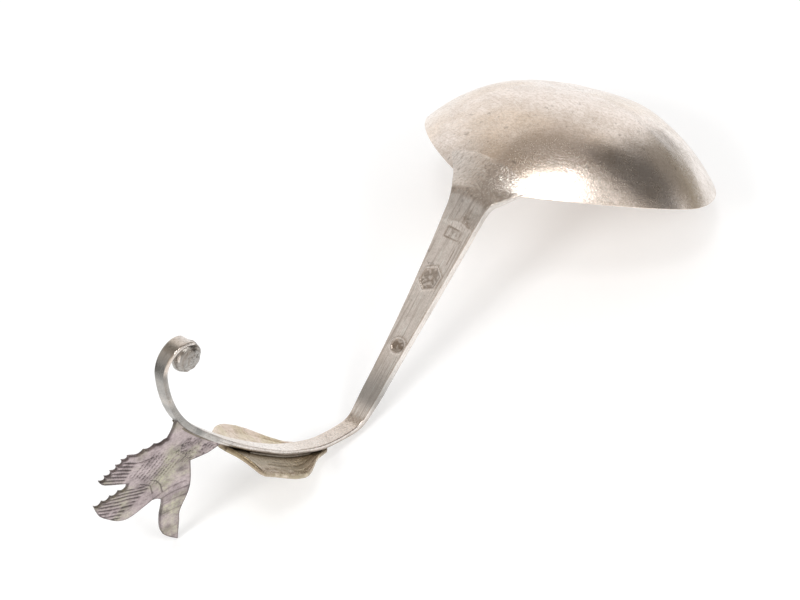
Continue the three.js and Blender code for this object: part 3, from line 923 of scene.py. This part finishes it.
def grid_inside(outline):
    """Points of a staggered grid inside an outline, kept a little off its line."""
    xs, ys = [p.x for p in outline], [p.y for p in outline]
    rows = int((max(ys) - min(ys)) / BIRD_GRID)
    columns = int((max(xs) - min(xs)) / BIRD_GRID)
    inner = []
    for j in range(1, rows):
        y = min(ys) + j * BIRD_GRID
        crossings = []
        for a, b in zip(outline, outline[1:] + outline[:1]):
            if (a.y > y) != (b.y > y):
                crossings.append(a.x + (y - a.y) / (b.y - a.y) * (b.x - a.x))
        crossings.sort()
        for low, high in zip(crossings[::2], crossings[1::2]):
            for i in range(columns + 1):
                x = min(xs) + (i + 0.5 * (j % 2)) * BIRD_GRID
                if low + 0.1 < x < high - 0.1:
                    inner.append(Vector((x, y)))
    return inner


def plate_faces(triangles, total):
    """Faces of a plate from those of its one side, with the other side's points after them and its rim."""
    faces = [tuple(t) for t in triangles] + [tuple(i + total for i in reversed(t)) for t in triangles]
    sides = {(a, b) for t in triangles for a, b in zip(t, t[1:] + t[:1])}
    for t in triangles:
        for a, b in zip(t, t[1:] + t[:1]):
            if (b, a) not in sides:
                faces.append((b, a, a + total, b + total))
    return faces


def build_bird():
    outline = bird_outline()
    loop = [list(range(len(outline)))]
    flat, _, triangles = delaunay_2d_cdt(outline + grid_inside(outline), [], loop, 1, 1e-5)[:3]
    edge = KDTree(len(outline))
    for i, p in enumerate(outline):
        edge.insert(p.to_3d(), i)
    edge.balance()
    marks = [engraving(p.x, p.y, edge.find(p.to_3d())[2]) for p in flat]
    at, along, out = back_at(BIRD_AT)
    x_axis = -along
    y_axis = -out * math.cos(LEAN) - ACROSS * math.sin(LEAN)
    normal = x_axis.cross(y_axis)
    points, groove_and_shade_values = [], []
    for side in (1, -1):
        for p, (deep, dark) in zip(flat, marks):
            bend = 0.5 * noise.noise(Vector((p.x, p.y, 0)) * 0.1) + 0.02 * (p.y - 8) * ramp(p.y, 8, 20)
            height = side * (BIRD_HALF_THICKNESS - deep) + bend
            points.append(at + x_axis * p.x + y_axis * p.y + normal * height)
            groove_and_shade_values.append(dark)
    faces = plate_faces([list(t) for t in triangles], len(flat))
    make("bird_plate_engraved", points, faces, bird_silver, "bird_figure", groove_and_shade_values)


# Solder

LEAF_SEAM_POINTS = 30
BIRD_SEAM_POINTS = 24
BOWL_SEAM_POINTS = 16
BIRD_SEAM_LENGTH = 12


def seam(name, node_name, line, radius):
    """An uneven, tapering run of solder along a line of points."""
    count = 10
    points = []
    for i, p in enumerate(line):
        t = i / (len(line) - 1)
        size = radius * (0.35 + 0.65 * math.sin(math.pi * t) ** 0.5) * (1 + 0.25 * noise.noise(p * 1.3))
        ahead = (line[min(i + 1, len(line) - 1)] - line[max(i - 1, 0)]).normalized()
        one = ahead.cross(ACROSS if abs(ahead.x) < 0.8 else Vector((0, 0, 1))).normalized()
        two = ahead.cross(one)
        for k in range(count):
            a = 2 * math.pi * k / count
            points.append(p + one * math.cos(a) * size + two * math.sin(a) * size)
    make(name, points, tube_faces(len(line), count), solder_grey, node_name)


def build_seams():
    for side, name in ((-1, "left"), (1, "right")):
        line = []
        for i in range(LEAF_SEAM_POINTS):
            d = LEAF_START + LEAF_LENGTH * (0.2 + 0.6 * i / (LEAF_SEAM_POINTS - 1))
            line.append(leaf_point(d, strip_sway(d) + side * (strip_width(d) / 2 - 0.05), -0.1))
        seam("leaf_seam_" + name, "leaf_solder_" + name, line, 0.22)
        line = []
        for i in range(BIRD_SEAM_POINTS):
            d = BIRD_AT + BIRD_SEAM_LENGTH * (0.5 - i / (BIRD_SEAM_POINTS - 1))
            at, _, out = back_at(d)
            deep = strip_thickness(d) + 0.12
            x = side * 0.35 / math.cos(LEAN) - math.tan(LEAN) * deep
            line.append(at - out * deep + ACROSS * x)
        seam("bird_seam_" + name, "bird_solder_" + name, line, 0.28)
    line = []
    d = END["neck"]
    at, _, out = back_at(d)
    for i in range(BOWL_SEAM_POINTS):
        x = strip_sway(d) + (i / (BOWL_SEAM_POINTS - 1) * 2 - 1) * (strip_width(d) / 2 - 0.8)
        line.append(at - out * (strip_thickness(d) + 0.1) + ACROSS * x)
    seam("bowl_seam", "bowl_solder", line, 0.3)


build_bowl()
build_handle()
build_scroll_core()
build_leaf()
build_bird()
build_seams()


# Floor, light and camera

FLOOR_CORNERS = [(-0.11, -0.08, 0), (0.092, -0.08, 0), (0.092, 0.115, 0), (-0.11, 0.115, 0)]
FLOOR_HEIGHT = -0.0001
FLOOR_GLOW = 0.2
# What the silver mirrors, by elevation: a pale horizon under a darker ceiling.
HORIZON = (1.0, 0.97, 0.95)
SKY = ((12, (0.97, 0.93, 0.90)), (25, (0.79, 0.75, 0.71)), (33, (0.73, 0.67, 0.61)),
       (42, (0.56, 0.49, 0.43)), (48, (0.46, 0.40, 0.34)))
CEILING = (0.385, 0.335, 0.29)
CEILING_START = 0.87
WINDOW = (7.0, 6.9, 6.75)
# Soft cards that only reflections see: azimuth and elevation, the radius up to which a card is full and the
# radius where it ends, all in degrees, and its colour.
CARDS = (
    (92, -10, 10, 24, (0.27, 0.25, 0.23)),
    (-90, -8, 10, 24, (0.27, 0.25, 0.23)),
    (-58, 10, 8, 26, (0.64, 0.61, 0.58)),
    (-55, 30, 5, 18, (0.38, 0.355, 0.33)),
    (-95, 40, 8, 26, (0.66, 0.63, 0.60)),
    (-10, 33, 6, 18, (0.90, 0.84, 0.78)),
    (113, 51, 10, 18, (0.92, 0.88, 0.84)),
    (47, -6, 10, 20, (0.31, 0.28, 0.23)),
    (51, 12, 8, 18, (0.24, 0.215, 0.185)),
    (32, -11, 3, 7, (0.18, 0.17, 0.16)),
    (55, 45, 8, 18, (0.22, 0.20, 0.185)),
    (70, 30, 15, 26, (0.12, 0.11, 0.10)),
    (104, 79, 3, 7, WINDOW),
    (120, 70, 5, 8, WINDOW),
    (127, 61, 3, 6, WINDOW),
    (170, 79, 4, 8, (0.55, 0.51, 0.47)),
)
# Name, azimuth, elevation, size in metres and watts.
LAMPS = (("main_light", -143, 38, 0.15, 1.8), ("top_light", -165, 68, 0.14, 0.8),
         ("side_light", 140, 45, 0.25, 1.1))
LAMP_DISTANCE = 0.9
CAMERA_AT = Vector((-5.941, -313.959, 312.607)) * MM
CAMERA_TILT = deg(46)


def direction(azimuth, elevation):
    a, e = deg(azimuth), deg(elevation)
    return Vector((math.sin(a) * math.cos(e), math.cos(a) * math.cos(e), math.sin(e)))


def build_floor():
    mesh = bpy.data.meshes.new("floor")
    mesh.from_pydata(FLOOR_CORNERS, [], [(0, 1, 2, 3)])
    floor = bpy.data.objects.new("floor", mesh)
    bpy.context.collection.objects.link(floor)
    material = bpy.data.materials.new("white_table")
    material.use_nodes = True
    tree = material.node_tree
    shader = tree.nodes['Principled BSDF']
    shader.inputs['Base Color'].default_value = (0.9, 0.9, 0.9, 1)
    shader.inputs['Roughness'].default_value = 0.1
    shader.inputs['Specular IOR Level'].default_value = 0.3
    # A white background for the camera and in reflections, with the object's shadow kept.
    path = add_node(tree, 'ShaderNodeLightPath')
    seen = maths(tree, 'MAXIMUM', path.outputs['Is Camera Ray'], path.outputs['Is Glossy Ray'])
    seen = maths(tree, 'MAXIMUM', seen, path.outputs['Is Transmission Ray'])
    strength = maths(tree, 'MULTIPLY', seen, FLOOR_GLOW)
    glow = add_node(tree, 'ShaderNodeEmission', {'Color': (1, 1, 1, 1), 'Strength': strength})
    both = add_node(tree, 'ShaderNodeAddShader', {0: shader.outputs[0], 1: glow.outputs[0]})
    tree.links.new(both.outputs[0], tree.nodes['Material Output'].inputs['Surface'])
    mesh.materials.append(material)
    floor.location.z = FLOOR_HEIGHT


def area_light(name, azimuth, elevation, size, watts):
    """A lamp that isn't seen in reflections."""
    data = bpy.data.lights.new(name, 'AREA')
    data.size = size
    data.energy = watts
    light = bpy.data.objects.new(name, data)
    bpy.context.collection.objects.link(light)
    toward = direction(azimuth, elevation)
    light.location = toward * LAMP_DISTANCE
    light.rotation_euler = toward.to_track_quat('Z', 'Y').to_euler()
    light.visible_glossy = False


def mirrored_sky(tree):
    """The colour of the surroundings that reflections see."""
    toward = add_node(tree, 'ShaderNodeTexCoord').outputs['Generated']
    height = add_node(tree, 'ShaderNodeSeparateXYZ', {0: toward}).outputs['Z']
    sky = add_node(tree, 'ShaderNodeValToRGB', {0: height})
    stops = sky.color_ramp.elements
    stops[0].position, stops[0].color = 0.0, (*HORIZON, 1)
    stops[1].position, stops[1].color = CEILING_START, (*CEILING, 1)
    for elevation, color in SKY:
        stops.new(math.sin(deg(elevation))).color = (*color, 1)
    color = sky.outputs[0]
    for azimuth, elevation, inner, outer, shade in CARDS:
        side = add_node(tree, 'ShaderNodeVectorMath', {0: toward, 1: direction(azimuth, elevation)},
                        operation='DOT_PRODUCT').outputs['Value']
        card = spread(tree, side, math.cos(deg(outer)), math.cos(deg(inner)))
        color = blend(tree, card, color, shade)
    return color


def build_world():
    world = bpy.data.worlds.new("studio")
    bpy.context.scene.world = world
    world.use_nodes = True
    tree = world.node_tree
    tree.nodes.clear()

    def background(color):
        return add_node(tree, 'ShaderNodeBackground', {'Color': color, 'Strength': 1.0}).outputs[0]

    def choose(factor, otherwise, chosen):
        return add_node(tree, 'ShaderNodeMixShader', {0: factor, 1: otherwise, 2: chosen}).outputs[0]

    path = add_node(tree, 'ShaderNodeLightPath')
    plain = background((0.70, 0.70, 0.70, 1))
    light = choose(path.outputs['Is Glossy Ray'], plain, background(mirrored_sky(tree)))
    seen = choose(path.outputs['Is Camera Ray'], light, background((1, 1, 1, 1)))
    output = add_node(tree, 'ShaderNodeOutputWorld')
    tree.links.new(seen, output.inputs[0])


def build_camera():
    data = bpy.data.cameras.new("camera")
    data.sensor_width = 36
    data.lens = 105.3
    data.clip_start = 0.01
    camera = bpy.data.objects.new("camera", data)
    bpy.context.collection.objects.link(camera)
    camera.location = CAMERA_AT
    camera.rotation_euler = Euler((CAMERA_TILT, 0, 0))
    bpy.context.scene.camera = camera


build_floor()
build_world()
for lamp in LAMPS:
    area_light(*lamp)
build_camera()

bpy.context.scene.view_settings.view_transform = 'Standard'
